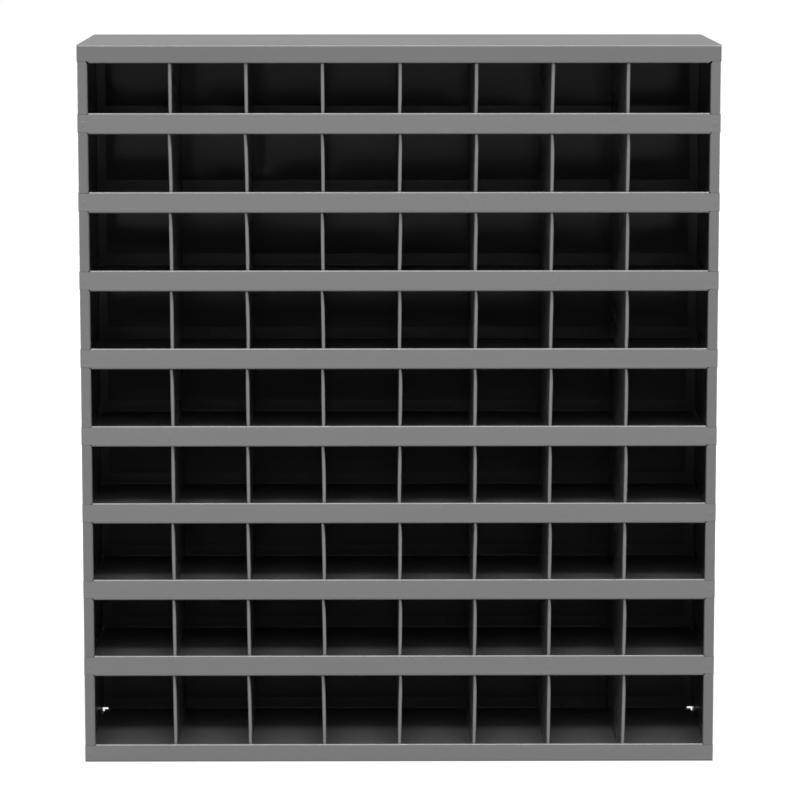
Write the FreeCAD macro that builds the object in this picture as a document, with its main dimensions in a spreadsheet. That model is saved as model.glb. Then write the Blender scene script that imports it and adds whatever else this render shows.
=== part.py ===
import FreeCAD, Part
import os
import Sketcher

# An open-fronted steel bin unit: two side panels, a top and a back, nine trays for shelves
# and a row of upright dividers on each shelf, all bent from painted sheet and welded.
# The origin is at the middle of the base. The front faces -Y, and +Z is up.

# Driving dimensions, in millimetres
SIZES = {
    "unit_width": 860.0,  # over the outer faces of the side panels
    "unit_depth": 305.0,  # from the front of the lips to the back of the back panel
    "base_row_height": 120.0,  # underside of the bottom shelf to underside of the next
    "row_pitch": 105.8,  # from one raised shelf to the next
    "top_row_height": 119.4,  # underside of the highest shelf to the top face
    "column_pitch": 102.0,  # from one divider to the next
    "sheet": 1.0,  # sides, top and shelves
    "back_sheet": 0.8,
    "divider_sheet": 0.8,
    "bend_inside": 1.6,  # radius on the inside of a bend
    "lip_height": 28.3,  # raised shelf's front lip
    "base_lip_height": 24.5,  # bottom shelf's front lip
    "hem_depth": 8.0,  # how far a folded edge reaches back along its sheet
    "hem_gap": 0.8,  # between the two leaves of a folded edge
    "rear_flange_height": 18.0,  # shelf flange against the back panel
    "shelf_side_flange": 12.0,  # shelf flange against a side panel
    "side_flange_rear_stop": 18.0,  # from the end of that flange to the rear
    "corner_slit": 2.0,  # relief behind a shelf's rear corner
    "corner_slit_length": 7.5,
    "side_flange": 14.0,  # side panel's front and rear flanges
    "flange_return": 9.0,  # how far the front flange's inner edge is turned back
    "side_top_flange": 14.0,  # side panel's flange under the top
    "top_front_flange": 24.5,
    "top_rear_flange": 18.0,
    "ear_rise": 2.6,  # the ends of a lip stop this far above its lower edge
    "corner_chamfer": 2.6,  # inner corners of the side panel's front flange
    "back_margin": 3.0,  # from the edge of the back panel to the edge of the unit
    "divider_hem_width": 4.2,
    "divider_hem_depth": 10.0,
    "hem_top_taper": 14.0,  # height over which the divider's hem narrows at its top
    "hem_foot_taper": 45.0,  # and at its foot
    "tab_length": 20.0,  # tab under a divider, in a slot of the shelf
    "tab_inset": 40.0,  # from the front or rear of the unit to the near end of a tab
    "seam": 0.4,  # gap between sheets that meet edge to edge
    "fit": 0.2,  # gap beside sheets that lie face to face or stand in a slot
}
RAISED_SHELVES = 8
DIVIDERS_PER_ROW = 7
HEM_ROUND = 0.45  # share of the gap in a folded edge that rounds each of its inner corners

# Places that several pieces share, as expressions in the driving dimensions
HALF_WIDTH = "(Dim.unit_width / 2)"
FRONT = "(-Dim.unit_depth / 2)"
REAR = "(Dim.unit_depth / 2 - Dim.back_sheet)"  # outer face of every rear flange
HEIGHT = f"(Dim.base_row_height + {RAISED_SHELVES - 1} * Dim.row_pitch + Dim.top_row_height)"
BEND_OUTSIDE = "(Dim.bend_inside + Dim.sheet)"
HEM_INSIDE = f"({HEM_ROUND} * Dim.hem_gap)"
HEM_OUTSIDE = f"({HEM_INSIDE} + Dim.sheet)"
HEM_REAR = f"({FRONT} + 2 * Dim.sheet + Dim.hem_gap)"  # rear face of a lip's folded edge
FLANGE_REACH = f"({HALF_WIDTH} - Dim.side_flange)"  # inner edge of the side panel's flanges
SHELF_REACH = f"({HALF_WIDTH} - Dim.sheet - Dim.fit)"  # outer face of a shelf's side flange
FLOOR_REACH = f"({SHELF_REACH} - {BEND_OUTSIDE})"  # where that flange's bend begins
FIRST_DIVIDER = f"(-{(DIVIDERS_PER_ROW - 1) / 2} * Dim.column_pitch)"  # middle of the first hem
DIVIDER_RUN = f"({DIVIDERS_PER_ROW - 1} * Dim.column_pitch)"
WEB_LEFT = f"({FIRST_DIVIDER} - Dim.divider_hem_width / 2)"
WEB_RIGHT = f"({WEB_LEFT} + Dim.divider_sheet)"
FRONT_TAB = f"({FRONT} + Dim.tab_inset)"
REAR_TAB = "(Dim.unit_depth / 2 - Dim.tab_inset - Dim.tab_length)"

doc = FreeCAD.newDocument("bin_unit")
sizes = doc.addObject("Spreadsheet::Sheet", "Dim")
for line, (name, size) in enumerate(SIZES.items(), start=1):
    sizes.set(f"A{line}", name)
    sizes.set(f"B{line}", str(size))
    sizes.setAlias(f"B{line}", name)
doc.recompute()


def measure(expression):
    """The value of an expression in the driving dimensions."""
    return float(sizes.evalExpression(expression))


def new_body(label, height="0"):
    """An empty body whose own origin is at the given height in the unit."""
    body = doc.addObject("PartDesign::Body", label)
    body.Label = label
    body.AllowCompound = True
    body.setExpression("Placement.Base.z", height)
    return body


def origin_feature(body, role):
    return next(item for item in body.Origin.OriginFeatures if item.Role == role)


def new_sketch(body, name, plane, offset="0"):
    """A sketch on one of the body's own planes, moved along that plane's normal."""
    sketch = body.newObject("Sketcher::SketchObject", name)
    sketch.AttachmentSupport = [(origin_feature(body, plane), "")]
    sketch.MapMode = "FlatFace"
    sketch.setExpression("AttachmentOffset.Base.z", offset)
    return sketch


def bind(sketch, constraint, expression):
    """Adds a constraint and ties its value to an expression."""
    index = sketch.addConstraint(constraint)
    name = f"size{index}"
    sketch.renameConstraint(index, name)
    sketch.setExpression(f"Constraints.{name}", expression)


def polygon(sketch, corners):
    """Draws a closed outline through corners, each given as two expressions."""
    first = sketch.GeometryCount
    places = [FreeCAD.Vector(measure(x), measure(y), 0) for x, y in corners]
    count = len(corners)
    for i in range(count):
        sketch.addGeometry(Part.LineSegment(places[i], places[(i + 1) % count]), False)
    for i, (x, y) in enumerate(corners):
        following = first + (i + 1) % count
        sketch.addConstraint(Sketcher.Constraint("Coincident", first + i, 2, following, 1))
        bind(sketch, Sketcher.Constraint("DistanceX", first + i, 1, places[i].x), x)
        bind(sketch, Sketcher.Constraint("DistanceY", first + i, 1, places[i].y), y)


def rectangle(sketch, left, right, low, high):
    polygon(sketch, [(left, low), (right, low), (right, high), (left, high)])


def bent_outline(sketch, runs):
    """Draws the closed outline of a bent sheet from upright and level runs in turn.

    Each run is its direction, its place and the radius of the corner at its end, or None where
    that corner is sharp. An upright run's place is measured across and a level one's upwards.
    """
    count = len(runs)
    places = [measure(place) for _, place, _ in runs]
    radii = [measure(radius) if radius else 0.0 for _, _, radius in runs]
    corners = []
    for i in range(count):
        following = (i + 1) % count
        if runs[i][0] == "upright":
            corners.append(FreeCAD.Vector(places[i], places[following], 0))
        else:
            corners.append(FreeCAD.Vector(places[following], places[i], 0))
    ways = [(corners[i] - corners[i - 1]).normalize() for i in range(count)]
    for i in range(count):
        start = corners[i - 1] + ways[i] * radii[i - 1]
        end = corners[i] - ways[i] * radii[i]
        sketch.addGeometry(Part.LineSegment(start, end), False)
    for i, (direction, place, radius) in enumerate(runs):
        following = (i + 1) % count
        if direction == "upright":
            sketch.addConstraint(Sketcher.Constraint("Vertical", i))
            bind(sketch, Sketcher.Constraint("DistanceX", i, 1, places[i]), place)
        else:
            sketch.addConstraint(Sketcher.Constraint("Horizontal", i))
            bind(sketch, Sketcher.Constraint("DistanceY", i, 1, places[i]), place)
        if not radius:
            sketch.addConstraint(Sketcher.Constraint("Coincident", i, 2, following, 1))
            continue
        entry = corners[i] - ways[i] * radii[i]
        leaving = corners[i] + ways[following] * radii[i]
        centre = entry + ways[following] * radii[i]
        middle = centre + (corners[i] - centre).normalize() * radii[i]
        arc = sketch.addGeometry(Part.Arc(entry, middle, leaving), False)
        # An arc is stored with its ends in anticlockwise order
        turns_left = ways[i].cross(ways[following]).z > 0
        near, far = (1, 2) if turns_left else (2, 1)
        sketch.addConstraint(Sketcher.Constraint("Tangent", i, 2, arc, near))
        sketch.addConstraint(Sketcher.Constraint("Tangent", following, 1, arc, far))
        bind(sketch, Sketcher.Constraint("Radius", arc, radii[i]), radius)


def pad(body, name, sketch, length, symmetric=False):
    feature = body.newObject("PartDesign::Pad", name)
    feature.Profile = sketch
    feature.SideType = "Symmetric" if symmetric else "One side"
    feature.setExpression("Length", length)
    doc.recompute()
    return feature


def pocket(body, name, sketch, depth=None):
    """Cuts to a depth, or right through both ways, and makes sure that something was cut."""
    before = body.Shape.Volume
    feature = body.newObject("PartDesign::Pocket", name)
    feature.Profile = sketch
    if depth is None:
        feature.SideType = "Symmetric"
        feature.Type = "ThroughAll"
    else:
        feature.setExpression("Length", depth)
    doc.recompute()
    if not feature.Shape.Volume < before:
        raise RuntimeError(f"{body.Label}: {name} cuts nothing")
    return feature


def linear_pattern(body, name, axis, length, count, originals=None):
    """Repeats the features named, or the whole body, along one of the body's axes."""
    feature = body.newObject("PartDesign::LinearPattern", name)
    if originals is None:
        feature.TransformMode = "Whole shape"
    else:
        feature.Originals = originals
    feature.Direction = (origin_feature(body, axis), [""])
    feature.setExpression("Length", length)
    feature.Occurrences = count
    body.Tip = feature
    doc.recompute()
    return feature


def mirror(body, name, originals):
    """Repeats features at the unit's other end."""
    feature = body.newObject("PartDesign::Mirrored", name)
    feature.Originals = originals
    feature.MirrorPlane = (origin_feature(body, "YZ_Plane"), [""])
    body.Tip = feature
    doc.recompute()
    return feature


def lip_notch(body, name, hand, low, high, shelf_foot):
    """Cuts a side panel's front flange between two heights, where the end of a lip lies.

    The flange's turned-back edge is cut from the foot of that lip's shelf, which passes behind it.
    """
    edge = f"{hand} * {FLANGE_REACH}"
    inner = f"{hand} * ({FLANGE_REACH} - Dim.sheet)"
    shoulder = f"{hand} * ({FLANGE_REACH} + Dim.corner_chamfer)"
    outer = f"{hand} * ({HALF_WIDTH} + Dim.sheet)"
    sketch = new_sketch(body, f"{name}_sketch", "XZ_Plane", f"-{FRONT}")
    polygon(
        sketch,
        [
            (outer, low),
            (shoulder, low),
            (edge, f"{low} - Dim.corner_chamfer"),
            (inner, f"{low} - Dim.corner_chamfer"),
            (inner, f"{high} + Dim.corner_chamfer"),
            (edge, f"{high} + Dim.corner_chamfer"),
            (shoulder, high),
            (outer, high),
        ],
    )
    notch = pocket(body, name, sketch, "Dim.sheet + Dim.seam")
    behind = new_sketch(body, f"{name}_return_sketch", "XZ_Plane", f"-({FRONT} + Dim.sheet + Dim.fit)")
    bend = f"{hand} * ({FLANGE_REACH} + {BEND_OUTSIDE})"
    rectangle(behind, inner, bend, f"{shelf_foot} - Dim.seam", f"{high} + Dim.corner_chamfer")
    return [notch, pocket(body, f"{name}_return", behind, "Dim.flange_return")]


def side_panel(label, hand):
    """A channel on end, its front flange turned back at its edge and notched for every lip."""
    body = new_body(label)
    outer = f"{hand} * {HALF_WIDTH}"
    inner = f"{hand} * ({HALF_WIDTH} - Dim.sheet)"
    edge = f"{hand} * {FLANGE_REACH}"
    channel = new_sketch(body, "channel_sketch", "XY_Plane")
    bent_outline(
        channel,
        [
            ("upright", outer, BEND_OUTSIDE),
            ("level", REAR, None),
            ("upright", edge, None),
            ("level", f"{REAR} - Dim.sheet", "Dim.bend_inside"),
            ("upright", inner, "Dim.bend_inside"),
            ("level", f"{FRONT} + Dim.sheet", "Dim.bend_inside"),
            ("upright", f"{hand} * ({FLANGE_REACH} + Dim.sheet)", None),
            ("level", f"{FRONT} + Dim.flange_return", None),
            ("upright", edge, BEND_OUTSIDE),
            ("level", FRONT, BEND_OUTSIDE),
        ],
    )
    pad(body, "channel", channel, f"{HEIGHT} - Dim.sheet")

    flange = new_sketch(body, "top_flange_sketch", "XY_Plane", f"{HEIGHT} - 2 * Dim.sheet")
    rectangle(
        flange,
        inner,
        f"{hand} * ({HALF_WIDTH} - Dim.side_top_flange)",
        f"{FRONT} + {BEND_OUTSIDE} + Dim.seam",
        f"{REAR} - {BEND_OUTSIDE} - Dim.seam",
    )
    pad(body, "top_flange", flange, "Dim.sheet")

    below = "-Dim.sheet"
    lip_notch(body, "base_notch", hand, below, "Dim.base_lip_height + Dim.seam", below)
    top_ear = f"{HEIGHT} - Dim.top_front_flange + Dim.ear_rise - Dim.seam"
    lip_notch(body, "top_notch", hand, top_ear, HEIGHT, top_ear)
    lowest = lip_notch(
        body,
        "lip_notch",
        hand,
        "Dim.base_row_height + Dim.ear_rise - Dim.seam",
        "Dim.base_row_height + Dim.lip_height + Dim.seam",
        "Dim.base_row_height",
    )
    foot = new_sketch(body, "rear_foot_sketch", "XZ_Plane", f"-({REAR} - {BEND_OUTSIDE})")
    beyond = f"{hand} * ({HALF_WIDTH} + Dim.sheet)"
    rectangle(foot, f"{hand} * ({FLANGE_REACH} - Dim.sheet)", beyond, below, "Dim.back_margin")
    pocket(body, "rear_foot", foot, f"{BEND_OUTSIDE} + Dim.sheet")
    run = f"{RAISED_SHELVES - 1} * Dim.row_pitch"
    linear_pattern(body, "lip_notches", "Z_Axis", run, RAISED_SHELVES, lowest)
    return body


def top_panel():
    """The top, with a folded front flange and a plain rear one."""
    body = new_body("top_panel")
    flange_foot = f"({HEIGHT} - Dim.top_front_flange)"
    profile = new_sketch(body, "profile_sketch", "YZ_Plane")
    bent_outline(
        profile,
        [
            ("level", HEIGHT, BEND_OUTSIDE),
            ("upright", FRONT, HEM_OUTSIDE),
            ("level", flange_foot, HEM_OUTSIDE),
            ("upright", HEM_REAR, None),
            ("level", f"{flange_foot} + Dim.hem_depth", None),
            ("upright", f"{HEM_REAR} - Dim.sheet", HEM_INSIDE),
            ("level", f"{flange_foot} + Dim.sheet", HEM_INSIDE),
            ("upright", f"{FRONT} + Dim.sheet", "Dim.bend_inside"),
            ("level", f"{HEIGHT} - Dim.sheet", "Dim.bend_inside"),
            ("upright", f"{REAR} - Dim.sheet", None),
            ("level", f"{HEIGHT} - Dim.top_rear_flange", None),
            ("upright", REAR, BEND_OUTSIDE),
        ],
    )
    pad(body, "profile", profile, "Dim.unit_width", symmetric=True)

    beyond = f"{HALF_WIDTH} + Dim.sheet"
    beside = f"{FLANGE_REACH} - Dim.seam"
    below = f"{flange_foot} - Dim.sheet"
    underside = f"{HEIGHT} - Dim.sheet"
    ear = new_sketch(body, "ear_sketch", "XZ_Plane", f"-{FRONT}")
    rectangle(ear, beside, beyond, below, f"{flange_foot} + Dim.ear_rise")
    ear_cut = pocket(body, "ear_cut", ear, f"{HEM_REAR} - {FRONT} + Dim.sheet")
    side = new_sketch(body, "side_sketch", "XZ_Plane", f"-({FRONT} + Dim.sheet)")
    rectangle(side, FLOOR_REACH, beyond, below, underside)
    side_cut = pocket(body, "side_cut", side, f"{REAR} - {FRONT}")
    rear = new_sketch(body, "rear_sketch", "XZ_Plane", f"-({REAR} - Dim.sheet - Dim.fit)")
    rectangle(rear, beside, beyond, below, underside)
    rear_cut = pocket(body, "rear_cut", rear, "2 * Dim.sheet")
    mirror(body, "other_end", [ear_cut, side_cut, rear_cut])
    return body


def back_panel():
    """A flat sheet over the rear flanges of the sides, the top and the shelves."""
    body = new_body("back_panel")
    sketch = new_sketch(body, "outline_sketch", "XZ_Plane", "-Dim.unit_depth / 2")
    reach = f"({HALF_WIDTH} - Dim.back_margin)"
    rectangle(sketch, f"-{reach}", reach, "Dim.back_margin", f"{HEIGHT} - Dim.back_margin")
    pad(body, "panel", sketch, "Dim.back_sheet")
    return body


def shelf(label, height, lip_height, raised):
    """A tray: a floor, a folded lip across the whole front, and flanges up its other sides.

    A raised shelf stops short of the side panels' rear flanges and of the front ones below its lip.
    The bottom shelf's rear bend runs on below the foot of the rear flanges.
    """
    body = new_body(label, height)
    profile = new_sketch(body, "profile_sketch", "YZ_Plane")
    bent_outline(
        profile,
        [
            ("level", "0", BEND_OUTSIDE),
            ("upright", REAR, None),
            ("level", "Dim.rear_flange_height", None),
            ("upright", f"{REAR} - Dim.sheet", "Dim.bend_inside"),
            ("level", "Dim.sheet", "Dim.bend_inside"),
            ("upright", f"{FRONT} + Dim.sheet", HEM_INSIDE),
            ("level", f"{lip_height} - Dim.sheet", HEM_INSIDE),
            ("upright", f"{HEM_REAR} - Dim.sheet", None),
            ("level", f"{lip_height} - Dim.hem_depth", None),
            ("upright", HEM_REAR, HEM_OUTSIDE),
            ("level", lip_height, HEM_OUTSIDE),
            ("upright", FRONT, BEND_OUTSIDE),
        ],
    )
    pad(body, "profile", profile, "Dim.unit_width", symmetric=True)

    beyond = f"{HALF_WIDTH} + Dim.sheet"
    beside = f"{FLANGE_REACH} - Dim.seam"
    slit_reach = f"{HALF_WIDTH} - Dim.sheet - Dim.corner_slit_length"
    floor_end = f"{REAR} - Dim.sheet - Dim.fit"
    slit_end = f"{floor_end} - Dim.corner_slit"
    end = new_sketch(body, "end_sketch", "XY_Plane")
    polygon(
        end,
        [
            (beyond, f"{FRONT} + Dim.sheet"),
            (FLOOR_REACH, f"{FRONT} + Dim.sheet"),
            (FLOOR_REACH, slit_end),
            (slit_reach, slit_end),
            (slit_reach, f"{REAR} + Dim.sheet"),
            (beyond, f"{REAR} + Dim.sheet"),
        ],
    )
    end_features = [pocket(body, "end_cut", end)]
    rear_low = "-Dim.sheet" if raised else "(Dim.back_margin - Dim.fit)"
    rear = new_sketch(body, "rear_sketch", "XZ_Plane", f"-({floor_end})")
    rectangle(rear, beside, beyond, rear_low, "Dim.rear_flange_height + Dim.sheet")
    end_features.append(pocket(body, "rear_cut", rear, "2 * Dim.sheet"))
    if raised:
        ear = new_sketch(body, "ear_sketch", "XZ_Plane", f"-{FRONT}")
        rectangle(ear, beside, beyond, "-Dim.sheet", "Dim.ear_rise")
        end_features.append(pocket(body, "ear_cut", ear, f"{BEND_OUTSIDE} + Dim.seam"))

    flange_end = "(Dim.unit_depth / 2 - Dim.side_flange_rear_stop)"
    flange = new_sketch(body, "side_flange_sketch", "XZ_Plane", f"-{flange_end}")
    bent_outline(
        flange,
        [
            ("level", "0", BEND_OUTSIDE),
            ("upright", SHELF_REACH, None),
            ("level", "Dim.shelf_side_flange", None),
            ("upright", f"{SHELF_REACH} - Dim.sheet", "Dim.bend_inside"),
            ("level", "Dim.sheet", None),
            ("upright", f"{FLOOR_REACH} - Dim.sheet", None),
        ],
    )
    flange_start = f"({FRONT} + {BEND_OUTSIDE} + Dim.seam)"
    end_features.append(pad(body, "side_flange", flange, f"{flange_end} - {flange_start}"))
    mirror(body, "other_end", end_features)

    slots = new_sketch(body, "slot_sketch", "XY_Plane")
    for start in (FRONT_TAB, REAR_TAB):
        rectangle(
            slots,
            f"{WEB_LEFT} - Dim.fit",
            f"{WEB_RIGHT} + Dim.fit",
            f"{start} - Dim.fit",
            f"{start} + Dim.tab_length + Dim.fit",
        )
    first_slots = pocket(body, "first_slots", slots)
    linear_pattern(body, "slots", "X_Axis", DIVIDER_RUN, DIVIDERS_PER_ROW, [first_slots])
    return body


def divider_row(label, height, ceiling):
    """A row of upright dividers with hollow hems in front, tabbed into the shelf below."""
    body = new_body(label, height)
    hem_gap = "(Dim.divider_hem_width - 2 * Dim.divider_sheet)"
    inside = f"({HEM_ROUND} * {hem_gap})"
    outside = f"({inside} + Dim.divider_sheet)"
    hem_right = f"({WEB_LEFT} + Dim.divider_hem_width)"
    front = f"({HEM_REAR} + Dim.fit)"
    top = f"({ceiling} - Dim.fit)"
    plan = new_sketch(body, "plan_sketch", "XY_Plane", "Dim.sheet")
    bent_outline(
        plan,
        [
            ("upright", WEB_LEFT, outside),
            ("level", front, outside),
            ("upright", hem_right, None),
            ("level", f"{front} + Dim.divider_hem_depth", None),
            ("upright", f"{hem_right} - Dim.divider_sheet", inside),
            ("level", f"{front} + Dim.divider_sheet", inside),
            ("upright", WEB_RIGHT, None),
            ("level", f"{REAR} - Dim.sheet - Dim.bend_inside", None),
        ],
    )
    pad(body, "web", plan, f"{top} - Dim.sheet")

    taper = new_sketch(body, "taper_sketch", "XZ_Plane")
    polygon(
        taper,
        [
            (hem_right, f"{top} - Dim.hem_top_taper"),
            (f"{hem_right} + Dim.sheet", f"{top} - Dim.hem_top_taper"),
            (f"{hem_right} + Dim.sheet", top),
            (WEB_RIGHT, top),
        ],
    )
    polygon(
        taper,
        [
            (WEB_RIGHT, "Dim.sheet"),
            (f"{hem_right} + Dim.sheet", "Dim.sheet"),
            (f"{hem_right} + Dim.sheet", "Dim.sheet + Dim.hem_foot_taper"),
            (hem_right, "Dim.sheet + Dim.hem_foot_taper"),
        ],
    )
    pocket(body, "tapers", taper)

    tabs = new_sketch(body, "tab_sketch", "XY_Plane")
    for start in (FRONT_TAB, REAR_TAB):
        rectangle(tabs, WEB_LEFT, WEB_RIGHT, start, f"{start} + Dim.tab_length")
    pad(body, "tabs", tabs, "Dim.sheet")

    linear_pattern(body, "row", "X_Axis", DIVIDER_RUN, DIVIDERS_PER_ROW)
    return body


# The pieces, each with the number of solids that it has
pieces = {
    side_panel("left_side_panel", -1): 1,
    side_panel("right_side_panel", 1): 1,
    top_panel(): 1,
    back_panel(): 1,
    shelf("bottom_shelf", "0", "Dim.base_lip_height", raised=False): 1,
    divider_row("dividers_row_1", "0", "Dim.base_row_height"): DIVIDERS_PER_ROW,
}
for number in range(1, RAISED_SHELVES + 1):
    floor = f"Dim.base_row_height + {number - 1} * Dim.row_pitch"
    ceiling = "Dim.row_pitch" if number < RAISED_SHELVES else "(Dim.top_row_height - Dim.sheet)"
    pieces[shelf(f"shelf_{number}", floor, "Dim.lip_height", raised=True)] = 1
    pieces[divider_row(f"dividers_row_{number + 1}", floor, ceiling)] = DIVIDERS_PER_ROW

# Nothing is written unless every object is sound
doc.recompute()
for item in doc.Objects:
    if "Invalid" in item.State or "Error" in item.State:
        raise RuntimeError(f"{item.Label} failed: {item.State}")
for body, solids in pieces.items():
    if body.Shape.isNull() or not body.Shape.isValid():
        raise RuntimeError(f"{body.Label} has no valid shape")
    if len(body.Shape.Solids) != solids:
        raise RuntimeError(f"{body.Label} has {len(body.Shape.Solids)} solids, not {solids}")

os.makedirs("parts", exist_ok=True)
for body in pieces:
    body.Shape.exportStep(f"parts/{body.Label}.step")
    print(body.Label, len(body.Shape.Solids), round(body.Shape.Volume))
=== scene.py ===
import bmesh
import bpy
import math
import random
from mathutils import Euler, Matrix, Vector


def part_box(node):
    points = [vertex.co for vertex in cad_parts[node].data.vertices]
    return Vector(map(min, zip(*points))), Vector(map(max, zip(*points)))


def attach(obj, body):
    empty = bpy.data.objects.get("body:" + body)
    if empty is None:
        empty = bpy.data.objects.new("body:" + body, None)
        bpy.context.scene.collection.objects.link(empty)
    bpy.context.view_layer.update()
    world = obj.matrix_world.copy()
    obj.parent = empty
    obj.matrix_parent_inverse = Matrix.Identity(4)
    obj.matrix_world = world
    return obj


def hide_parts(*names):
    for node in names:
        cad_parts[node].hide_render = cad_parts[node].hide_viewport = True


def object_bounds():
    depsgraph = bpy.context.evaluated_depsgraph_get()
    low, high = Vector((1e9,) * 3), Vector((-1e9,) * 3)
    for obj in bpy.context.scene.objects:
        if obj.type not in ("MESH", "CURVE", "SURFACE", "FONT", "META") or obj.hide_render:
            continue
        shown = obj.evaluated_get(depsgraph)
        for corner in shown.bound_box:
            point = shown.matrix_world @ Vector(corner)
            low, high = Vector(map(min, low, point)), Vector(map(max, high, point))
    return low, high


# A welded steel bin unit: folded and enamelled sheets in place of its solids, in a pale studio.
# Lengths are in metres. The open front faces -Y, and each sheet is drawn on its outer side.

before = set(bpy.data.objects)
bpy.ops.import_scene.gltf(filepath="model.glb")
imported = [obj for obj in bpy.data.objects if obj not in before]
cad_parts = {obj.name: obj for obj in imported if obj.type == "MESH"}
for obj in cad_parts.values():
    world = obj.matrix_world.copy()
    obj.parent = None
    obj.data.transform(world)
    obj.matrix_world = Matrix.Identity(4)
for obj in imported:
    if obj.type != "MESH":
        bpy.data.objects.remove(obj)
cad_low, cad_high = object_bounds()

MM = 0.001
TINY = 0.01 * MM  # places nearer than this count as one
PLACE_DIGITS = 7
X_AXIS, Y_AXIS, Z_AXIS = (Vector(way) for way in ((1, 0, 0), (0, 1, 0), (0, 0, 1)))
HANDS = (("left", -1), ("right", 1))

# The unit's box
HALF_WIDTH = cad_high[0]
FRONT = cad_low[1]
BACK = cad_high[1]
BASE = cad_low[2]
TOP = cad_high[2]
MIDDLE = Vector((0.0, 0.0, (BASE + TOP) / 2))

# Sheet and its folds
SHEET = 1.0 * MM
THIN_SHEET = 0.8 * MM
BEND = 2.6 * MM
HEM_BEND = 1.76 * MM
HEM_WIDTH = 3.6 * MM
HEM_DEPTH = 8.0 * MM
SEAM = 0.3 * MM
FACE_GAP = 0.2 * MM
EDGE_GAP = 0.4 * MM
ARC_STEPS = 6
SHARP_ANGLE = math.radians(30)

# Places that several sheets share. REAR is the outer face of the rear flanges, under the back sheet.
# Ears are the ends of a lip or of the top's flange, over the side panels' front flanges
REAR = BACK - THIN_SHEET
CASE_FLANGE = 14.0 * MM
FLANGE_EDGE = HALF_WIDTH - CASE_FLANGE
FLANGE_MIDDLE = HALF_WIDTH - CASE_FLANGE / 2
EAR_EDGE = FLANGE_EDGE - EDGE_GAP
EAR_RISE = 2.6 * MM
EAR_BACK = FRONT + SHEET + EDGE_GAP
BACK_MARGIN = 3.0 * MM

# Shelf trays, which have an open slit at each rear corner
SHELF_COUNT = sum(name.startswith("shelf_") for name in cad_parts)
SHELVES = ["bottom_shelf"] + [f"shelf_{i}" for i in range(1, SHELF_COUNT + 1)]
REAR_FLANGE = 18.0 * MM
REAR_STUB = 3.4 * MM
SIDE_FLANGE = 12.0 * MM
SIDE_FLANGE_FRONT = FRONT + BEND + EDGE_GAP
SIDE_FLANGE_STOP = 18.0 * MM
SIDE_FLANGE_REAR = BACK - SIDE_FLANGE_STOP
FLOOR_EDGE = HALF_WIDTH - SHEET - FACE_GAP - BEND
SLIT_INSET = 5.5 * MM
SLIT_EDGE = FLANGE_EDGE + SLIT_INSET
SLIT_DEPTH = 0.6 * MM
SLIT_END = REAR - BEND - SLIT_DEPTH

# Top
TOP_HEM_INSET = 1.4 * MM
TOP_HEM_END = EAR_EDGE - TOP_HEM_INSET
TOP_REAR_DROP = BEND / 3  # the top runs this far down its rear bend at full width

# Side panels
FLANGE_RETURN = 9.0 * MM
UPPER_FLARE = 4.0 * MM
LOWER_FLARE = 1.0 * MM
WEB_FRONT = FRONT + BEND
WEB_TOP = TOP - SHEET - BEND

# Back sheet
BACK_STEPS = 96
PILLOW = 1.6 * MM
PILLOW_STEPS = 10
PILLOW_LEAST = 0.3  # share of the swell that is left on a line of welds
PILLOW_UNEVEN = 0.25
PILLOW_TURN = 9.0  # radians for each metre across the unit
PILLOW_BAND_TURN = 2.3  # radians from one band to the next
PILLOW_SIDE_POWER = 6
WELD_PULL = 17.0 * MM

# Spot welds. Crown and rim are shares of the radius, and dish is a share of the rise
WELD_SIDES = 14
WELD_RADIUS = 4.6 * MM
WELD_ROOT = 0.3 * MM
WELD_RISE = 0.55 * MM
LIP_WELD_RISE = 0.15 * MM
WELD_CROWN = 0.75
WELD_RIM = 0.3
WELD_DISH = 0.8
SIDE_WELD_PITCH = 110.0 * MM
SIDE_WELD_HEIGHT = SIDE_FLANGE * 0.6
BACK_WELD_COUNT = 9
BACK_WELD_PITCH = 95.0 * MM
BACK_WELD_HEIGHTS = [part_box(name)[0][2] + REAR_FLANGE / 2 for name in SHELVES] + [TOP - REAR_FLANGE / 2]

# Dividers, which stand in the shelves by two tabs each
COLUMN_PITCH = 102.0 * MM
DIVIDER_COUNT = 7
DIVIDER_MIDDLES = [(i - (DIVIDER_COUNT - 1) / 2) * COLUMN_PITCH for i in range(DIVIDER_COUNT)]
DIVIDER_WIDTH = 4.2 * MM
DIVIDER_HEM = 10.0 * MM
DIVIDER_FRONT = FRONT + HEM_WIDTH + FACE_GAP
DIVIDER_REAR = REAR - BEND
TAB_LENGTH = 20.0 * MM
TAB_INSET = 40.0 * MM
TAB_MIDDLE = BACK - TAB_INSET - TAB_LENGTH / 2
SLOT_GAP = 0.05 * MM
SLOT_LENGTH = TAB_LENGTH + 2 * SLOT_GAP
SLOT_LEFTS = [middle - DIVIDER_WIDTH / 2 - SLOT_GAP for middle in DIVIDER_MIDDLES]
SLOT_WIDTH = THIN_SHEET + 2 * SLOT_GAP

# Strips on the dividers' fronts, with the share of their width at shares of their height
STRIP_WIDTH = 4.9 * MM
STRIP_FLAT = 0.1 * MM
STRIP_NOSE = (STRIP_WIDTH - STRIP_FLAT) / 2
STRIP_SHAPE = ((0.0, 0.78), (0.2, 0.92), (0.42, 1.0), (0.6, 1.0), (0.8, 1.0), (0.92, 0.9), (1.0, 0.7))
STRIP_LEAN = 1.5 * MM
LEAN_SPREAD = 0.7 * MM
BOW_SPREAD = 0.5 * MM
DICE_SEED = 9

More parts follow.
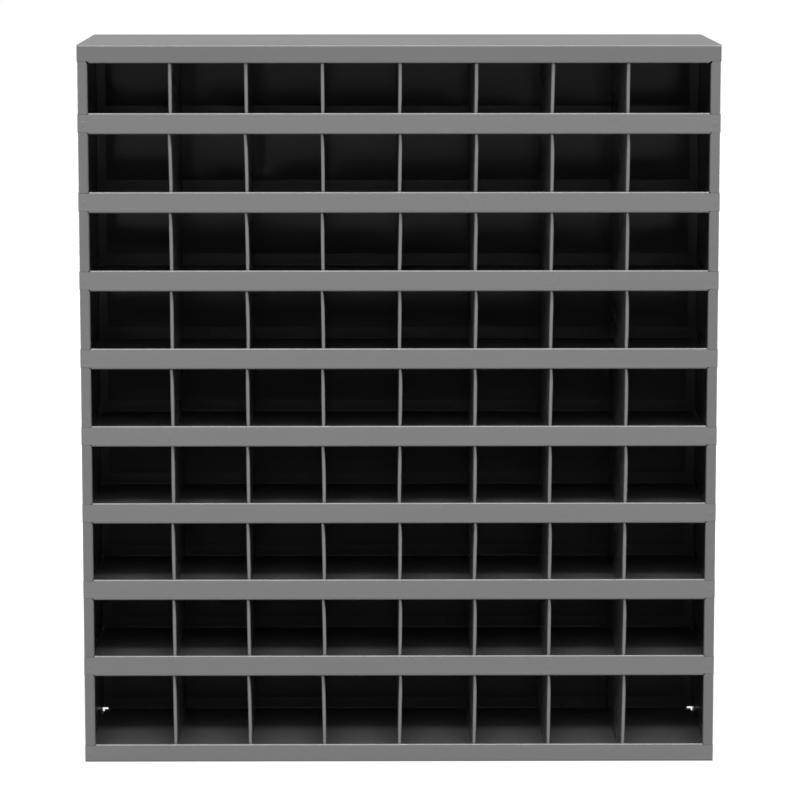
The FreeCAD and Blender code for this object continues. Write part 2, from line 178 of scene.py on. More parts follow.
# Paint
ENAMEL_GREY = (0.2, 0.2, 0.202, 1.0)
# Painted shade: the case grey is a darker copy of the shelves' enamel grey, for dimmer light on the side
# panels; the back shares it
CASE_SHADED_GREY = (0.18, 0.18, 0.182, 1.0)
# Painted highlight: the dividers' grey is a lighter copy of the shelves' enamel grey, for the gleam on their
# rounded strips
STRIP_HIGHLIT_GREY = (0.222, 0.222, 0.224, 1.0)
# Painted shade: the top grey is a darker copy of the shelves' enamel grey, for dimmer light on the top
TOP_SHADED_GREY = (0.175, 0.175, 0.177, 1.0)
# Painted shade: weld marks are darker than the sheet, for the shade in their dimples
WELD_SHADED_GREY = (0.145, 0.145, 0.147, 1.0)
DUST_GREY = (0.42, 0.41, 0.39, 1.0)
SPECKLE = 0.01
SHEEN_SPREAD = 0.025
PEEL_HEIGHT = 0.003  # millimetres
BARE_PATCH = 0.3  # the least share of dust in a patch
FACING_FROM = 0.9  # a surface begins to face an axis at this cosine
NOISE_LOW, NOISE_HIGH = 0.25, 0.75  # where most of a noise pattern's values lie

# Studio: greys and strengths, and lights by name, place, width, height and level
GROUND_SIZE = 60.0
GROUND_GREY = (0.25, 0.25, 0.25, 1.0)
GLOW_NEAR, GLOW_FAR = 0.6, 2.4
GLOW_UNDER_UNIT = 0.75
WHITE = (1.0, 1.0, 1.0, 1.0)
ROOM_LIGHT = 0.04
LIGHTS = [
    ("overhead", (0.0, -2.8, 10.1), 5.2, 1.6, 0.86),
    ("front_band", (0.0, -7.3, 4.7), 4.0, 0.55, 0.28),
    ("front_broad", (0.0, -7.64, 6.46), 5.0, 6.5, 0.35),
]
LIGHTS += [(f"rear_{word}", (hand * 2.0, 2.0, 0.7), 1.4, 1.3, 0.6) for word, hand in HANDS]
LIGHTS += [(f"side_{word}", (hand * 4.0, 0.6, 1.1), 1.6, 1.2, 0.5) for word, hand in HANDS]

# Camera, fitted to the photograph's outline: lens in millimetres, shift as a share of the frame
CAMERA_PLACE = Vector((-0.031, -4.8, 1.208))
CAMERA_PITCH = math.radians(-7.855)
CAMERA_YAW = math.radians(-0.395)
CAMERA_LENS = 156.54
CAMERA_SENSOR = 36.0
CAMERA_SHIFT_UP = -0.06


# Sheet metal

def only(items, kind):
    """Those of the items that are vertices, edges or faces, as the kind says."""
    return [item for item in items if isinstance(item, kind)]


def folded_line(bm, corners, radii):
    """Edges along a folded sheet's outer side, in an empty bmesh.

    Each inner corner is an arc of its radius, or a plain stop where the radius is 0.
    """
    tip = bm.verts.new(corners[0])
    for corner, radius, after in zip(corners[1:], list(radii) + [0.0], list(corners[2:]) + [None]):
        way_in = (corner - tip.co).normalized()
        way_out = (after - corner).normalized() if radius else way_in
        turn = way_in.angle(way_out)
        reach = corner - way_in * (radius * math.tan(turn / 2))
        if (reach - tip.co).length > TINY:
            tip = bmesh.ops.extrude_vert_indiv(bm, verts=[tip])["verts"][0]
            tip.co = reach
        if radius:
            inward = (way_out - way_in * way_in.dot(way_out)).normalized()
            swept = bmesh.ops.spin(
                bm, geom=[tip], cent=tip.co + inward * radius, axis=way_in.cross(way_out), dvec=(0, 0, 0),
                angle=turn, steps=ARC_STEPS)
            tip = only(swept["geom_last"], bmesh.types.BMVert)[0]
    return list(bm.edges)


def drawn_out(bm, edges, way):
    """Draws faces from edges along a way, and gives the edges at their far end."""
    grown = bmesh.ops.extrude_edge_only(bm, edges=edges)["geom"]
    bmesh.ops.translate(bm, verts=only(grown, bmesh.types.BMVert), vec=way)
    return only(grown, bmesh.types.BMEdge)


def folded_sheet(corners, radii, stops, axis):
    """A sheet with no thickness yet: a folded line at the first stop, drawn along an axis to the last.

    It has an edge at each stop.
    """
    bm = bmesh.new()
    edges = folded_line(bm, corners, radii)
    for before, after in zip(stops, stops[1:]):
        edges = drawn_out(bm, edges, axis * (after - before))
    return bm


def keep_faces(bm, kept):
    """Leaves only the faces whose middle passes the test."""
    dropped = [face for face in bm.faces if not kept(face.calc_center_median())]
    bmesh.ops.delete(bm, geom=dropped, context="FACES")


def edges_where(bm, test):
    """The open edges of a sheet with both ends at places that pass the test."""
    return [edge for edge in bm.edges if edge.is_boundary and all(test(vert.co) for vert in edge.verts)]


def fold(bm, edges, hinge, axis, way, length):
    """Turns a flange up from an edge by a right angle and draws it out."""
    swept = bmesh.ops.spin(
        bm, geom=edges, cent=hinge, axis=axis, dvec=(0, 0, 0), angle=math.pi / 2, steps=ARC_STEPS)
    drawn_out(bm, only(swept["geom_last"], bmesh.types.BMEdge), way * length)


def thicken(bm, outward, thickness):
    """Gives a sheet its thickness. The largest face looks outward and stays where it is."""
    bmesh.ops.remove_doubles(bm, verts=bm.verts[:], dist=TINY)
    bmesh.ops.recalc_face_normals(bm, faces=bm.faces[:])
    largest = max(bm.faces, key=lambda face: face.calc_area())
    if largest.normal.dot(outward) < 0:
        bmesh.ops.reverse_faces(bm, faces=bm.faces[:])
    bmesh.ops.solidify(bm, geom=bm.faces[:], thickness=thickness)


def joined(shapes):
    """One bmesh of several, which are freed."""
    whole = bmesh.new()
    for shape in shapes:
        mesh = bpy.data.meshes.new("shape")
        shape.to_mesh(mesh)
        shape.free()
        whole.from_mesh(mesh)
        bpy.data.meshes.remove(mesh)
    return whole


def painted_piece(bm, name, material, *nodes):
    """Makes the finished object, on the unit's one body, in place of its CAD nodes."""
    for face in bm.faces:
        face.smooth = True
    mesh = bpy.data.meshes.new(name)
    bm.to_mesh(mesh)
    bm.free()
    mesh.set_sharp_from_angle(angle=SHARP_ANGLE)
    mesh.materials.append(material)
    piece = bpy.data.objects.new(name, mesh)
    bpy.context.scene.collection.objects.link(piece)
    weighted = piece.modifiers.new("weighted", "WEIGHTED_NORMAL")
    weighted.keep_sharp = True
    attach(piece, "root")
    if nodes:
        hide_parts(*nodes)


def both_hands(places):
    """Places and their mirror images, from left to right."""
    return sorted({round(side * place, PLACE_DIGITS) for place in places for side in (-1, 1)})


# Shelf trays

def in_slot(place):
    """Whether a place of a tray's floor is in a slot for a divider's tab."""
    if abs(abs(place.y) - TAB_MIDDLE) > SLOT_LENGTH / 2:
        return False
    return any(left < place.x < left + SLOT_WIDTH for left in SLOT_LEFTS)


def in_tray(place, foot, raised):
    """Whether a tray has sheet at a place of its full-width folded strip."""
    across = abs(place.x)
    up = place.z - foot
    on_lip = place.y < FRONT + TINY
    on_hem = place.y < FRONT + HEM_WIDTH + TINY and up > BEND
    if on_lip:
        return True
    if on_hem:
        return across < EAR_EDGE
    if place.y < FRONT + BEND:
        return across < (EAR_EDGE if raised else FLOOR_EDGE + BEND)
    if place.y > REAR - BEND:
        return across < EAR_EDGE or (not raised and up < REAR_STUB and across < SLIT_EDGE)
    if in_slot(place):
        return False
    return across < SLIT_EDGE or (across < FLOOR_EDGE and place.y < SLIT_END)


def tray(name):
    """A shelf: floor, front lip with its edge folded back, rear flange and two side flanges."""
    low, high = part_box(name)
    foot, lip = low[2], high[2]
    raised = name != SHELVES[0]
    stops = [SLIT_END, SIDE_FLANGE_REAR]
    stops += [side * TAB_MIDDLE + end * SLOT_LENGTH / 2 for side in (1, -1) for end in (1, -1)]
    stops += [SIDE_FLANGE_FRONT]
    outline = [(REAR, foot + REAR_FLANGE), (REAR, foot + REAR_STUB), (REAR, foot)]
    outline += [(stop, foot) for stop in stops]
    outline += [(FRONT, foot), (FRONT, lip), (FRONT + HEM_WIDTH, lip), (FRONT + HEM_WIDTH, lip - HEM_DEPTH)]
    radii = [0.0, BEND] + [0.0] * len(stops) + [BEND, HEM_BEND, HEM_BEND]
    across = both_hands([HALF_WIDTH, FLOOR_EDGE + BEND, FLOOR_EDGE, SLIT_EDGE, EAR_EDGE])
    across = sorted(across + SLOT_LEFTS + [left + SLOT_WIDTH for left in SLOT_LEFTS])
    bm = folded_sheet([Vector((across[0], y, z)) for y, z in outline], radii, across, X_AXIS)
    keep_faces(bm, lambda place: in_tray(place, foot, raised))
    for hand in (-1, 1):
        rim = edges_where(bm, lambda place: (
            abs(place.x - hand * FLOOR_EDGE) < TINY and abs(place.z - foot) < TINY
            and SIDE_FLANGE_FRONT - TINY < place.y < SIDE_FLANGE_REAR + TINY))
        hinge = Vector((hand * FLOOR_EDGE, 0.0, foot + BEND))
        fold(bm, rim, hinge, Y_AXIS * -hand, Z_AXIS, SIDE_FLANGE - BEND)
    thicken(bm, -Z_AXIS, SHEET)
    return bm


# Case

def top_panel():
    """The top: front flange with its foot folded back, ears over the side panels, and a plain rear flange."""
    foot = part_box("top_panel")[0][2]
    outline = [
        (REAR, TOP - REAR_FLANGE), (REAR, TOP), (FRONT, TOP), (FRONT, foot + EAR_RISE), (FRONT, foot),
        (FRONT + HEM_WIDTH, foot), (FRONT + HEM_WIDTH, foot + HEM_DEPTH)]
    radii = [BEND, BEND, 0.0, HEM_BEND, HEM_BEND]
    across = both_hands([HALF_WIDTH, EAR_EDGE, TOP_HEM_END])
    bm = folded_sheet([Vector((across[0], y, z)) for y, z in outline], radii, across, X_AXIS)

    def in_top(place):
        """Whether the top has sheet at a place of its full-width folded strip."""
        if place.y > REAR - TINY or (place.y > REAR - BEND and place.z < TOP - TOP_REAR_DROP):
            return abs(place.x) < EAR_EDGE
        if place.z > foot + EAR_RISE:
            return place.z > foot + HEM_DEPTH or place.y < FRONT + TINY or abs(place.x) < TOP_HEM_END
        return abs(place.x) < (EAR_EDGE if place.y < FRONT + TINY else TOP_HEM_END)

    keep_faces(bm, in_top)
    thicken(bm, Z_AXIS, SHEET)
    return bm


def ear_spans():
    """Lower and upper end of each place where a lip or the top's flange lies over a side panel's flange."""
    spans = []
    for name in SHELVES:
        low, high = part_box(name)
        start = low[2] + EAR_RISE - SEAM if name != SHELVES[0] else BASE
        spans.append((start, high[2] - HEM_BEND + SEAM))
    spans.append((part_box("top_panel")[0][2] + EAR_RISE - SEAM, WEB_TOP))
    return spans


def side_web(hand, spans):
    """A side panel's web with its rear flange and the flange that it turns in under the top."""
    side = hand * HALF_WIDTH
    outline = [(hand * FLANGE_EDGE, REAR), (side, REAR), (side, WEB_FRONT), (side, EAR_BACK)]
    levels = sorted({BASE, BASE + BACK_MARGIN, WEB_TOP} | {end for span in spans for end in span})
    bm = folded_sheet([Vector((x, y, levels[0])) for x, y in outline], [BEND, 0.0], levels, Z_AXIS)

    def in_web(place):
        """Whether the web has sheet at a place of its full-height folded strip."""
        if abs(place.x) < HALF_WIDTH - TINY:
            return place.z > BASE + BACK_MARGIN
        if place.y < WEB_FRONT:
            return any(start < place.z < end for start, end in spans)
        return True

    keep_faces(bm, in_web)
    rim = edges_where(bm, lambda place: (
        abs(place.z - WEB_TOP) < TINY and abs(place.x - side) < TINY and place.y > WEB_FRONT - TINY))
    hinge = Vector((side - hand * BEND, 0.0, WEB_TOP))
    fold(bm, rim, hinge, Y_AXIS * -hand, X_AXIS * -hand, CASE_FLANGE - BEND)
    thicken(bm, X_AXIS * hand, SHEET)
    return bm


def flange_length(hand, start, end):
    """One length of a side panel's front flange, between two lips, with its inner edge turned back."""
    side, edge = hand * HALF_WIDTH, hand * FLANGE_EDGE
    outline = [(side, WEB_FRONT), (side, FRONT), (edge, FRONT), (edge, FRONT + FLANGE_RETURN)]
    levels = [start, start + LOWER_FLARE, end - UPPER_FLARE, end]
    bm = folded_sheet([Vector((x, y, start)) for x, y in outline], [BEND, BEND], levels, Z_AXIS)

    def on_return(place):
        """Whether a place is on the edge that is turned back."""
        return abs(place.x) < FLANGE_EDGE + TINY and place.y > FRONT + BEND

    keep_faces(bm, lambda place: not on_return(place) or levels[1] < place.z < levels[2])
    for vert in bm.verts:
        at_end = min(abs(vert.co.z - start), abs(vert.co.z - end)) < TINY
        if at_end and abs(vert.co.x) < FLANGE_EDGE + BEND:
            vert.co.x = edge + hand * BEND
            vert.co.y = FRONT
    thicken(bm, -Y_AXIS, SHEET)
    return bm


def side_panel(hand):
    """A side panel: its web, and its front flange in lengths between the lips."""
    spans = ear_spans()
    lengths = [flange_length(hand, below[1], above[0]) for below, above in zip(spans, spans[1:])]
    return joined([side_web(hand, spans)] + lengths)


def pillow(place, lines, welds, half_width):
    """How far the back swells at a place: most between lines of welds, and nothing at a weld or a side."""
    band = max(i for i, height in enumerate(lines[:-1]) if height < place.z + TINY)
    share = (place.z - lines[band]) / (lines[band + 1] - lines[band])
    swell = PILLOW_LEAST + (1 - PILLOW_LEAST) * math.sin(math.pi * share)
    turn = PILLOW_TURN * place.x + PILLOW_BAND_TURN * band
    uneven = 1 - PILLOW_UNEVEN + PILLOW_UNEVEN * math.sin(turn)
    weld_gap = min((place - weld).length for weld in welds)
    free = 1 - math.exp(-(weld_gap / WELD_PULL) ** 2)
    inside = 1 - (place.x / half_width) ** PILLOW_SIDE_POWER
    return PILLOW * swell * uneven * free * inside


def back_sheet():
    """The back: one thin sheet, held in at its welds and slightly pillowed between them."""
    low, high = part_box("back_panel")
    columns = [low[0] + step / BACK_STEPS * (high[0] - low[0]) for step in range(BACK_STEPS + 1)]
    lines = [low[2]] + BACK_WELD_HEIGHTS[1:-1] + [high[2]]
    levels = [low[2]]
    for below, above in zip(lines, lines[1:]):
        levels += [below + step / PILLOW_STEPS * (above - below) for step in range(1, PILLOW_STEPS + 1)]
    corners = [Vector((x, high[1], low[2])) for x in columns]
    bm = folded_sheet(corners, [0.0] * (len(corners) - 2), levels, Z_AXIS)
    welds = back_weld_places()
    for vert in bm.verts:
        vert.co.y += pillow(vert.co, lines, welds, high[0])
    thicken(bm, Y_AXIS, THIN_SHEET)
    return bm


# Spot welds

def weld_marks(places, way, rise):
    """Round marks of spot welds: low plugs set in the sheet, each with a sloping rim and a dished face."""
    bm = bmesh.new()
    turn = way.to_track_quat("Z", "Y").to_matrix().to_4x4()
    for place in places:
        turn.translation = place + way * (rise - WELD_ROOT) / 2
        plug = bmesh.ops.create_cone(
            bm, cap_ends=True, segments=WELD_SIDES, radius1=WELD_RADIUS, radius2=WELD_RADIUS * WELD_CROWN,
            depth=rise + WELD_ROOT, matrix=turn)
        faces = {face for vert in plug["verts"] for face in vert.link_faces}
        for face in faces:
            face.normal_update()
        crown = max(faces, key=lambda face: face.normal.dot(way))
        bmesh.ops.inset_region(bm, faces=[crown], thickness=WELD_RADIUS * WELD_RIM, depth=-WELD_DISH * rise)
    return bm


def side_weld_places(hand):
    """Three welds through each shelf's side flange."""
    heights = [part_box(name)[0][2] + SIDE_WELD_HEIGHT for name in SHELVES]
    return [Vector((hand * HALF_WIDTH, step * SIDE_WELD_PITCH, z)) for z in heights for step in (-1, 0, 1)]


def back_weld_places():
    """Nine welds along each rear flange, and one on each side panel's rear flange between shelves."""
    steps = [i - (BACK_WELD_COUNT - 1) / 2 for i in range(BACK_WELD_COUNT)]
    places = [(BACK_WELD_PITCH * step, z) for z in BACK_WELD_HEIGHTS for step in steps]
    between = [(below + above) / 2 for below, above in zip(BACK_WELD_HEIGHTS, BACK_WELD_HEIGHTS[1:])]
    places += [(hand * FLANGE_MIDDLE, z) for z in between for hand in (-1, 1)]
    return [Vector((x, BACK, z)) for x, z in places]


def lip_weld_places():
    """One weld at each end of each lip, on the side panel's front flange."""
    boxes = [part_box(name) for name in SHELVES]
    heights = [(low[2] + high[2]) / 2 for low, high in boxes]
    return [Vector((hand * FLANGE_MIDDLE, FRONT, z)) for z in heights for hand in (-1, 1)]


# Dividers

def divider(middle, foot, head, dice):
    """One upright: a thin web with its front edge folded over into a rounded strip.

    The strip tapers at its ends, and leans and bows a little by chance, as hand work does.
    """
    left = middle - DIVIDER_WIDTH / 2
    right = left + STRIP_WIDTH
    height = head - foot
    tab_ends = [side * TAB_MIDDLE + end * TAB_LENGTH / 2 for side in (-1, 1) for end in (-1, 1)]
    outline = [(right, DIVIDER_FRONT + DIVIDER_HEM), (right, DIVIDER_FRONT), (left, DIVIDER_FRONT)]
    outline += [(left, end) for end in tab_ends] + [(left, DIVIDER_REAR)]
    radii = [STRIP_NOSE, STRIP_NOSE] + [0.0] * len(tab_ends)
    levels = [foot + share * height for share, width in STRIP_SHAPE]
    bm = folded_sheet([Vector((x, y, foot)) for x, y in outline], radii, levels, Z_AXIS)
    outward = 1 if middle > -TINY else -1
    lean = outward * STRIP_LEAN + dice.uniform(-LEAN_SPREAD, LEAN_SPREAD)
    bow = dice.uniform(-BOW_SPREAD, BOW_SPREAD)
    for vert in bm.verts:
        share = (vert.co.z - foot) / height
        width = min(STRIP_SHAPE, key=lambda level: abs(level[0] - share))[1]
        ahead = (REAR - vert.co.y) / (REAR - DIVIDER_FRONT)
        vert.co.x = left + (vert.co.x - left) * width
        vert.co.x += ahead * (lean * share + bow * math.sin(math.pi * share))
    tabs = edges_where(bm, lambda place: (
        abs(place.z - foot) < TINY and place.y > DIVIDER_FRONT + DIVIDER_HEM
        and abs(abs(place.y) - TAB_MIDDLE) < TAB_LENGTH / 2 + TINY))
    drawn_out(bm, tabs, Z_AXIS * -SHEET)
    thicken(bm, -X_AXIS, THIN_SHEET)
    return bm


def divider_row(name, dice):
    """The dividers that stand on one shelf."""
    low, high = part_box(name)
    return joined([divider(middle, low[2] + SHEET, high[2], dice) for middle in DIVIDER_MIDDLES])


# Node groups of the enamel

def node_group(name, inputs, outputs):
    """An empty node group with the named sockets, and its two end nodes."""
    tree = bpy.data.node_groups.new(name, "ShaderNodeTree")
    for label, kind in inputs:
        tree.interface.new_socket(label, in_out="INPUT", socket_type=kind)
    for label, kind in outputs:
        tree.interface.new_socket(label, in_out="OUTPUT", socket_type=kind)
    return tree, tree.nodes.new("NodeGroupInput"), tree.nodes.new("NodeGroupOutput")


def noise(tree, scale, detail):
    """Noise over object coordinates, from about -1 to 1."""
    place = tree.nodes.new("ShaderNodeTexCoord")
    pattern = tree.nodes.new("ShaderNodeTexNoise")
    pattern.inputs["Scale"].default_value = scale
    pattern.inputs["Detail"].default_value = detail
    spread = tree.nodes.new("ShaderNodeMapRange")
    spread.clamp = False
    spread.inputs["From Min"].default_value = NOISE_LOW
    spread.inputs["From Max"].default_value = NOISE_HIGH
    spread.inputs["To Min"].default_value = -1.0
    tree.links.new(place.outputs["Object"], pattern.inputs["Vector"])
    tree.links.new(pattern.outputs["Fac"], spread.inputs["Value"])
    return spread.outputs["Result"]


def result_of(tree, operation, first, second):
    """The result socket of a Math node. Each of its two values is a socket or a number."""
    node = tree.nodes.new("ShaderNodeMath")
    node.operation = operation
    for socket, value in zip(node.inputs, (first, second)):
        if isinstance(value, float):
            socket.default_value = value
        else:
            tree.links.new(value, socket)
    return node.outputs[0]


def facing(tree, axis):
    """1 where a surface faces along an axis, falling to 0 as it tilts away."""
    surface = tree.nodes.new("ShaderNodeNewGeometry")
    parts = tree.nodes.new("ShaderNodeSeparateXYZ")
    share = tree.nodes.new("ShaderNodeMapRange")
    share.inputs["From Min"].default_value = FACING_FROM
    tree.links.new(surface.outputs["Normal"], parts.inputs[0])
    tree.links.new(parts.outputs[axis], share.inputs["Value"])
    return share.outputs["Result"]


def mottle_group():
    """The paint's colour, clouded over a hand's breadth and finely speckled."""
    tree, source, result = node_group(
        "enamel_mottle",
        [("Color", "NodeSocketColor"), ("Cloud", "NodeSocketFloat"), ("Speckle", "NodeSocketFloat")],
        [("Color", "NodeSocketColor")])
    clouds = noise(tree, scale=5.0, detail=2.0)
    cloud = result_of(tree, "MULTIPLY", clouds, source.outputs["Cloud"])
    specks = noise(tree, scale=240.0, detail=2.0)
    speckle = result_of(tree, "MULTIPLY", specks, source.outputs["Speckle"])
    level = result_of(tree, "ADD", result_of(tree, "ADD", cloud, speckle), 1.0)
    scaled = tree.nodes.new("ShaderNodeVectorMath")
    scaled.operation = "SCALE"
    tree.links.new(source.outputs["Color"], scaled.inputs[0])
    tree.links.new(level, scaled.inputs["Scale"])
    tree.links.new(scaled.outputs[0], result.inputs["Color"])
    return tree


def sheen_group():
    """Roughness that varies where the paint lies thinner, and rises at the rear, where walls rub it dull."""
    tree, source, result = node_group(
        "enamel_sheen",
        [("Roughness", "NodeSocketFloat"), ("Spread", "NodeSocketFloat"), ("Rub", "NodeSocketFloat")],
        [("Roughness", "NodeSocketFloat")])
    thinning = noise(tree, scale=9.0, detail=2.0)
    change = result_of(tree, "MULTIPLY", thinning, source.outputs["Spread"])
    rubbed = result_of(tree, "MULTIPLY", facing(tree, "Y"), source.outputs["Rub"])
    thinned = result_of(tree, "ADD", source.outputs["Roughness"], change)
    tree.links.new(result_of(tree, "ADD", thinned, rubbed), result.inputs["Roughness"])
    return tree


def skin_group():
    """Height in millimetres: the sprayed paint's fine skin and the slow waves of thin sheet."""
    tree, source, result = node_group(
        "enamel_skin",
        [("Peel", "NodeSocketFloat"), ("Wave", "NodeSocketFloat")],
        [("Height", "NodeSocketFloat")])
    peel = result_of(tree, "MULTIPLY", noise(tree, scale=180.0, detail=1.0), source.outputs["Peel"])
    wave = result_of(tree, "MULTIPLY", noise(tree, scale=6.0, detail=1.0), source.outputs["Wave"])
    tree.links.new(result_of(tree, "ADD", peel, wave), result.inputs["Height"])
    return tree


def dust_group():
    """A little patchy dust on what lies flat: it pales the paint and dulls its sheen."""
    tree, source, result = node_group(
        "settled_dust",
        [("Color", "NodeSocketColor"), ("Dust", "NodeSocketColor"), ("Amount", "NodeSocketFloat"),
         ("Roughness", "NodeSocketFloat"), ("Dullness", "NodeSocketFloat")],
        [("Color", "NodeSocketColor"), ("Roughness", "NodeSocketFloat")])
    upward = facing(tree, "Z")
    patch = tree.nodes.new("ShaderNodeMapRange")
    patch.inputs["From Min"].default_value = -1.0
    patch.inputs["To Min"].default_value = BARE_PATCH
    mix = tree.nodes.new("ShaderNodeMix")
    mix.data_type = "RGBA"
    tree.links.new(noise(tree, scale=18.0, detail=5.0), patch.inputs["Value"])
    cover = result_of(tree, "MULTIPLY", upward, patch.outputs["Result"])
    tree.links.new(result_of(tree, "MULTIPLY", cover, source.outputs["Amount"]), mix.inputs["Factor"])
    tree.links.new(source.outputs["Color"], mix.inputs["A"])
    tree.links.new(source.outputs["Dust"], mix.inputs["B"])
    tree.links.new(mix.outputs["Result"], result.inputs["Color"])
    dulled = result_of(tree, "MULTIPLY", upward, source.outputs["Dullness"])
    tree.links.new(result_of(tree, "ADD", source.outputs["Roughness"], dulled), result.inputs["Roughness"])
    return tree


# Enamel

GROUPS = {"mottle": mottle_group(), "sheen": sheen_group(), "skin": skin_group(), "dust": dust_group()}


def group_node(tree, name, **values):
    """One of the node groups, placed in a material with its own values."""
    node = tree.nodes.new("ShaderNodeGroup")
    node.node_tree = GROUPS[name]
    for label, value in values.items():
        node.inputs[label].default_value = value
    return node


def enamel(name, color, roughness, gloss, cloud, wave=0.0, dust=0.0, dullness=0.4, rub=0.0):
    """Satin baked enamel on steel sheet.

    Wave is the sheet's unevenness in millimetres. Dust and its dullness lie where the sheet faces up, and
    rub dulls what faces back.
    """
    material = bpy.data.materials.new(name)
    material.use_nodes = True
    tree = material.node_tree
    shader = tree.nodes["Principled BSDF"]
    shader.inputs["Specular IOR Level"].default_value = gloss
    mottle = group_node(tree, "mottle", Color=color, Cloud=cloud, Speckle=SPECKLE)
    dusty = group_node(tree, "dust", Dust=DUST_GREY, Amount=dust, Dullness=dullness)
    sheen = group_node(tree, "sheen", Roughness=roughness, Spread=SHEEN_SPREAD, Rub=rub)
    skin = group_node(tree, "skin", Peel=PEEL_HEIGHT, Wave=wave)
    bump = tree.nodes.new("ShaderNodeBump")
    bump.inputs["Distance"].default_value = MM
    tree.links.new(mottle.outputs["Color"], dusty.inputs["Color"])
    tree.links.new(dusty.outputs["Color"], shader.inputs["Base Color"])
    tree.links.new(sheen.outputs["Roughness"], dusty.inputs["Roughness"])
    tree.links.new(dusty.outputs["Roughness"], shader.inputs["Roughness"])
    tree.links.new(skin.outputs["Height"], bump.inputs["Height"])
    tree.links.new(bump.outputs["Normal"], shader.inputs["Normal"])
    return material


# Studio

def seen_by_eye(tree):
    """1 where a surface is seen, straight, reflected or through glass, and 0 where it only gives light."""
    path = tree.nodes.new("ShaderNodeLightPath")
    seen = result_of(tree, "MAXIMUM", path.outputs["Is Camera Ray"], path.outputs["Is Glossy Ray"])
    return result_of(tree, "MAXIMUM", seen, path.outputs["Is Transmission Ray"])


def floor_material():
    """Pale ground, white to the eye away from the unit. It bounces a little light and keeps the shadow."""
    material = bpy.data.materials.new("studio_ground")
    material.use_nodes = True
    material.cycles.emission_sampling = "NONE"
    tree = material.node_tree
    tree.nodes.clear()
    output = tree.nodes.new("ShaderNodeOutputMaterial")
    both = tree.nodes.new("ShaderNodeAddShader")
    matt = tree.nodes.new("ShaderNodeBsdfDiffuse")
    matt.inputs["Color"].default_value = GROUND_GREY
    glow = tree.nodes.new("ShaderNodeEmission")
    place = tree.nodes.new("ShaderNodeTexCoord")
    reach = tree.nodes.new("ShaderNodeVectorMath")
    reach.operation = "LENGTH"
    level = tree.nodes.new("ShaderNodeMapRange")
    level.inputs["From Min"].default_value = GLOW_NEAR
    level.inputs["From Max"].default_value = GLOW_FAR
    level.inputs["To Min"].default_value = GLOW_UNDER_UNIT
    tree.links.new(place.outputs["Object"], reach.inputs[0])
    tree.links.new(reach.outputs["Value"], level.inputs["Value"])
    strength = result_of(tree, "MULTIPLY", level.outputs["Result"], seen_by_eye(tree))
    tree.links.new(strength, glow.inputs["Strength"])
    tree.links.new(matt.outputs[0], both.inputs[0])
    tree.links.new(glow.outputs[0], both.inputs[1])
    tree.links.new(both.outputs[0], output.inputs["Surface"])
    return material


def studio_world():
    """White to the eye, and only a faint light from all round."""
    world = bpy.data.worlds.new("studio")
    bpy.context.scene.world = world
    world.use_nodes = True
    world.cycles.sampling_method = "NONE"
    tree = world.node_tree
    background = tree.nodes["Background"]
    background.inputs["Color"].default_value = WHITE
    level = tree.nodes.new("ShaderNodeMapRange")
    level.inputs["To Min"].default_value = ROOM_LIGHT
    tree.links.new(seen_by_eye(tree), level.inputs["Value"])
    tree.links.new(level.outputs["Result"], background.inputs["Strength"])


def ground():
    """The floor that the unit stands on."""
    bm = bmesh.new()
    bmesh.ops.create_grid(bm, x_segments=1, y_segments=1, size=GROUND_SIZE)
    mesh = bpy.data.meshes.new("ground")
    bm.to_mesh(mesh)
    bm.free()
    mesh.materials.append(floor_material())
    floor = bpy.data.objects.new("ground", mesh)
    bpy.context.scene.collection.objects.link(floor)


def area_light(name, place, width, height, level):
    """A rectangular soft light that faces the unit's middle.

    Level is the share of its own colour that a surface there gives back when it faces the light.
    """
    way = MIDDLE - Vector(place)
    data = bpy.data.lights.new(name, "AREA")
    data.shape = "RECTANGLE"
    data.size = width
    data.size_y = height
    data.energy = level * (math.pi * way.length) ** 2
    light = bpy.data.objects.new(name, data)
    light.location = place
    light.rotation_euler = way.to_track_quat("-Z", "Y").to_euler()
    light.visible_camera = False
    bpy.context.scene.collection.objects.link(light)


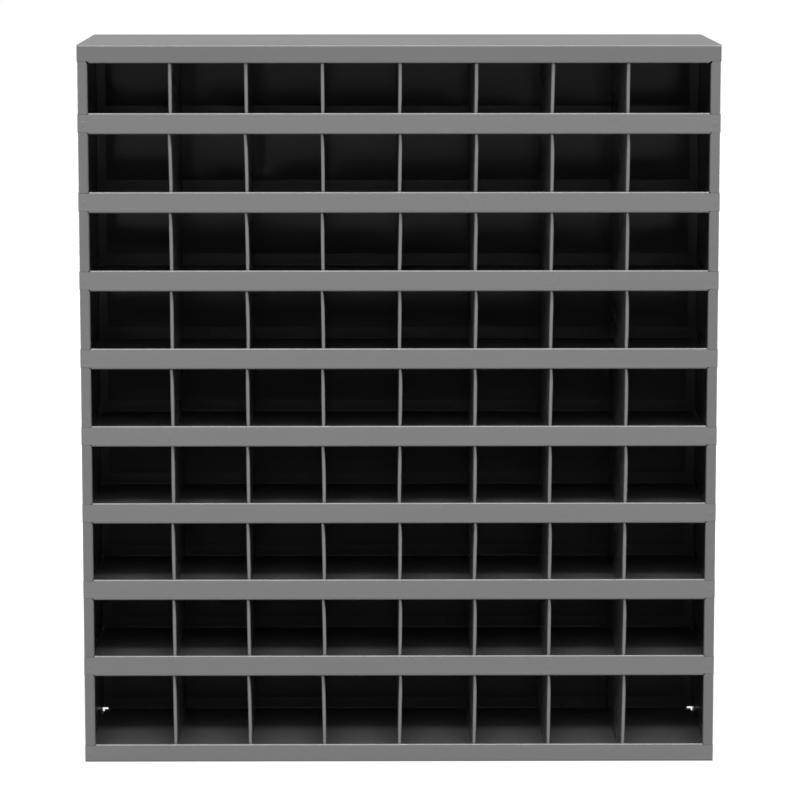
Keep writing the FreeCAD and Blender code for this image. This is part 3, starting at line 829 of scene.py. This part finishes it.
def camera():
    """The camera at the photograph's viewing angle."""
    data = bpy.data.cameras.new("camera")
    data.lens = CAMERA_LENS
    data.sensor_width = CAMERA_SENSOR
    data.shift_y = CAMERA_SHIFT_UP
    eye = bpy.data.objects.new("camera", data)
    eye.location = CAMERA_PLACE
    eye.rotation_euler = Euler((math.pi / 2 + CAMERA_PITCH, 0.0, CAMERA_YAW))
    bpy.context.scene.collection.objects.link(eye)
    bpy.context.scene.camera = eye


bpy.context.scene.view_settings.view_transform = "Standard"
studio_world()
ground()
for light_values in LIGHTS:
    area_light(*light_values)
camera()

# Paints. The back is glossier inside than outside, and weld marks are a little darker than the sheet: painted
# shade of their dimples

# Painted shade: the top sheet takes the darker top grey
top_paint = enamel(
    "top_enamel", TOP_SHADED_GREY, roughness=0.26, gloss=0.32, cloud=0.025, wave=0.3, dust=0.03, dullness=0.65)
# Painted shade: the side panels and the back take the darker case grey
case_paint = enamel("case_enamel", CASE_SHADED_GREY, roughness=0.30, gloss=0.35, cloud=0.03, wave=0.3, dust=0.05)
weld_paint = enamel("weld_enamel", WELD_SHADED_GREY, roughness=0.30, gloss=0.35, cloud=0.03)
back_paint = enamel("back_enamel", CASE_SHADED_GREY, roughness=0.11, gloss=0.1, cloud=0.03, wave=0.3, rub=0.19)
back_weld_paint = enamel("back_weld_enamel", WELD_SHADED_GREY, roughness=0.30, gloss=0.1, cloud=0.03)
shelf_paint = enamel(
    "shelf_enamel", ENAMEL_GREY, roughness=0.26, gloss=0.42, cloud=0.015, wave=0.3, dust=0.05)
# Painted highlight: the dividers take the lighter strip grey
divider_paint = enamel("divider_enamel", STRIP_HIGHLIT_GREY, roughness=0.26, gloss=0.5, cloud=0.015, wave=0.2)

# Pieces

for name in SHELVES:
    painted_piece(tray(name), f"{name}_tray", shelf_paint, name)
painted_piece(top_panel(), "top_sheet", top_paint, "top_panel")
for word, hand in HANDS:
    painted_piece(side_panel(hand), f"{word}_side_sheet", case_paint, f"{word}_side_panel")
painted_piece(back_sheet(), "back_sheet", back_paint, "back_panel")
for word, hand in HANDS:
    marks = weld_marks(side_weld_places(hand), X_AXIS * hand, WELD_RISE)
    painted_piece(marks, f"{word}_side_welds", weld_paint)
painted_piece(weld_marks(back_weld_places(), Y_AXIS, WELD_RISE), "back_welds", back_weld_paint)
painted_piece(weld_marks(lip_weld_places(), -Y_AXIS, LIP_WELD_RISE), "lip_welds", shelf_paint)
dice = random.Random(DICE_SEED)
for row in range(1, len(SHELVES) + 1):
    node = f"dividers_row_{row}"
    painted_piece(divider_row(node, dice), f"{node}_sheets", divider_paint, node)
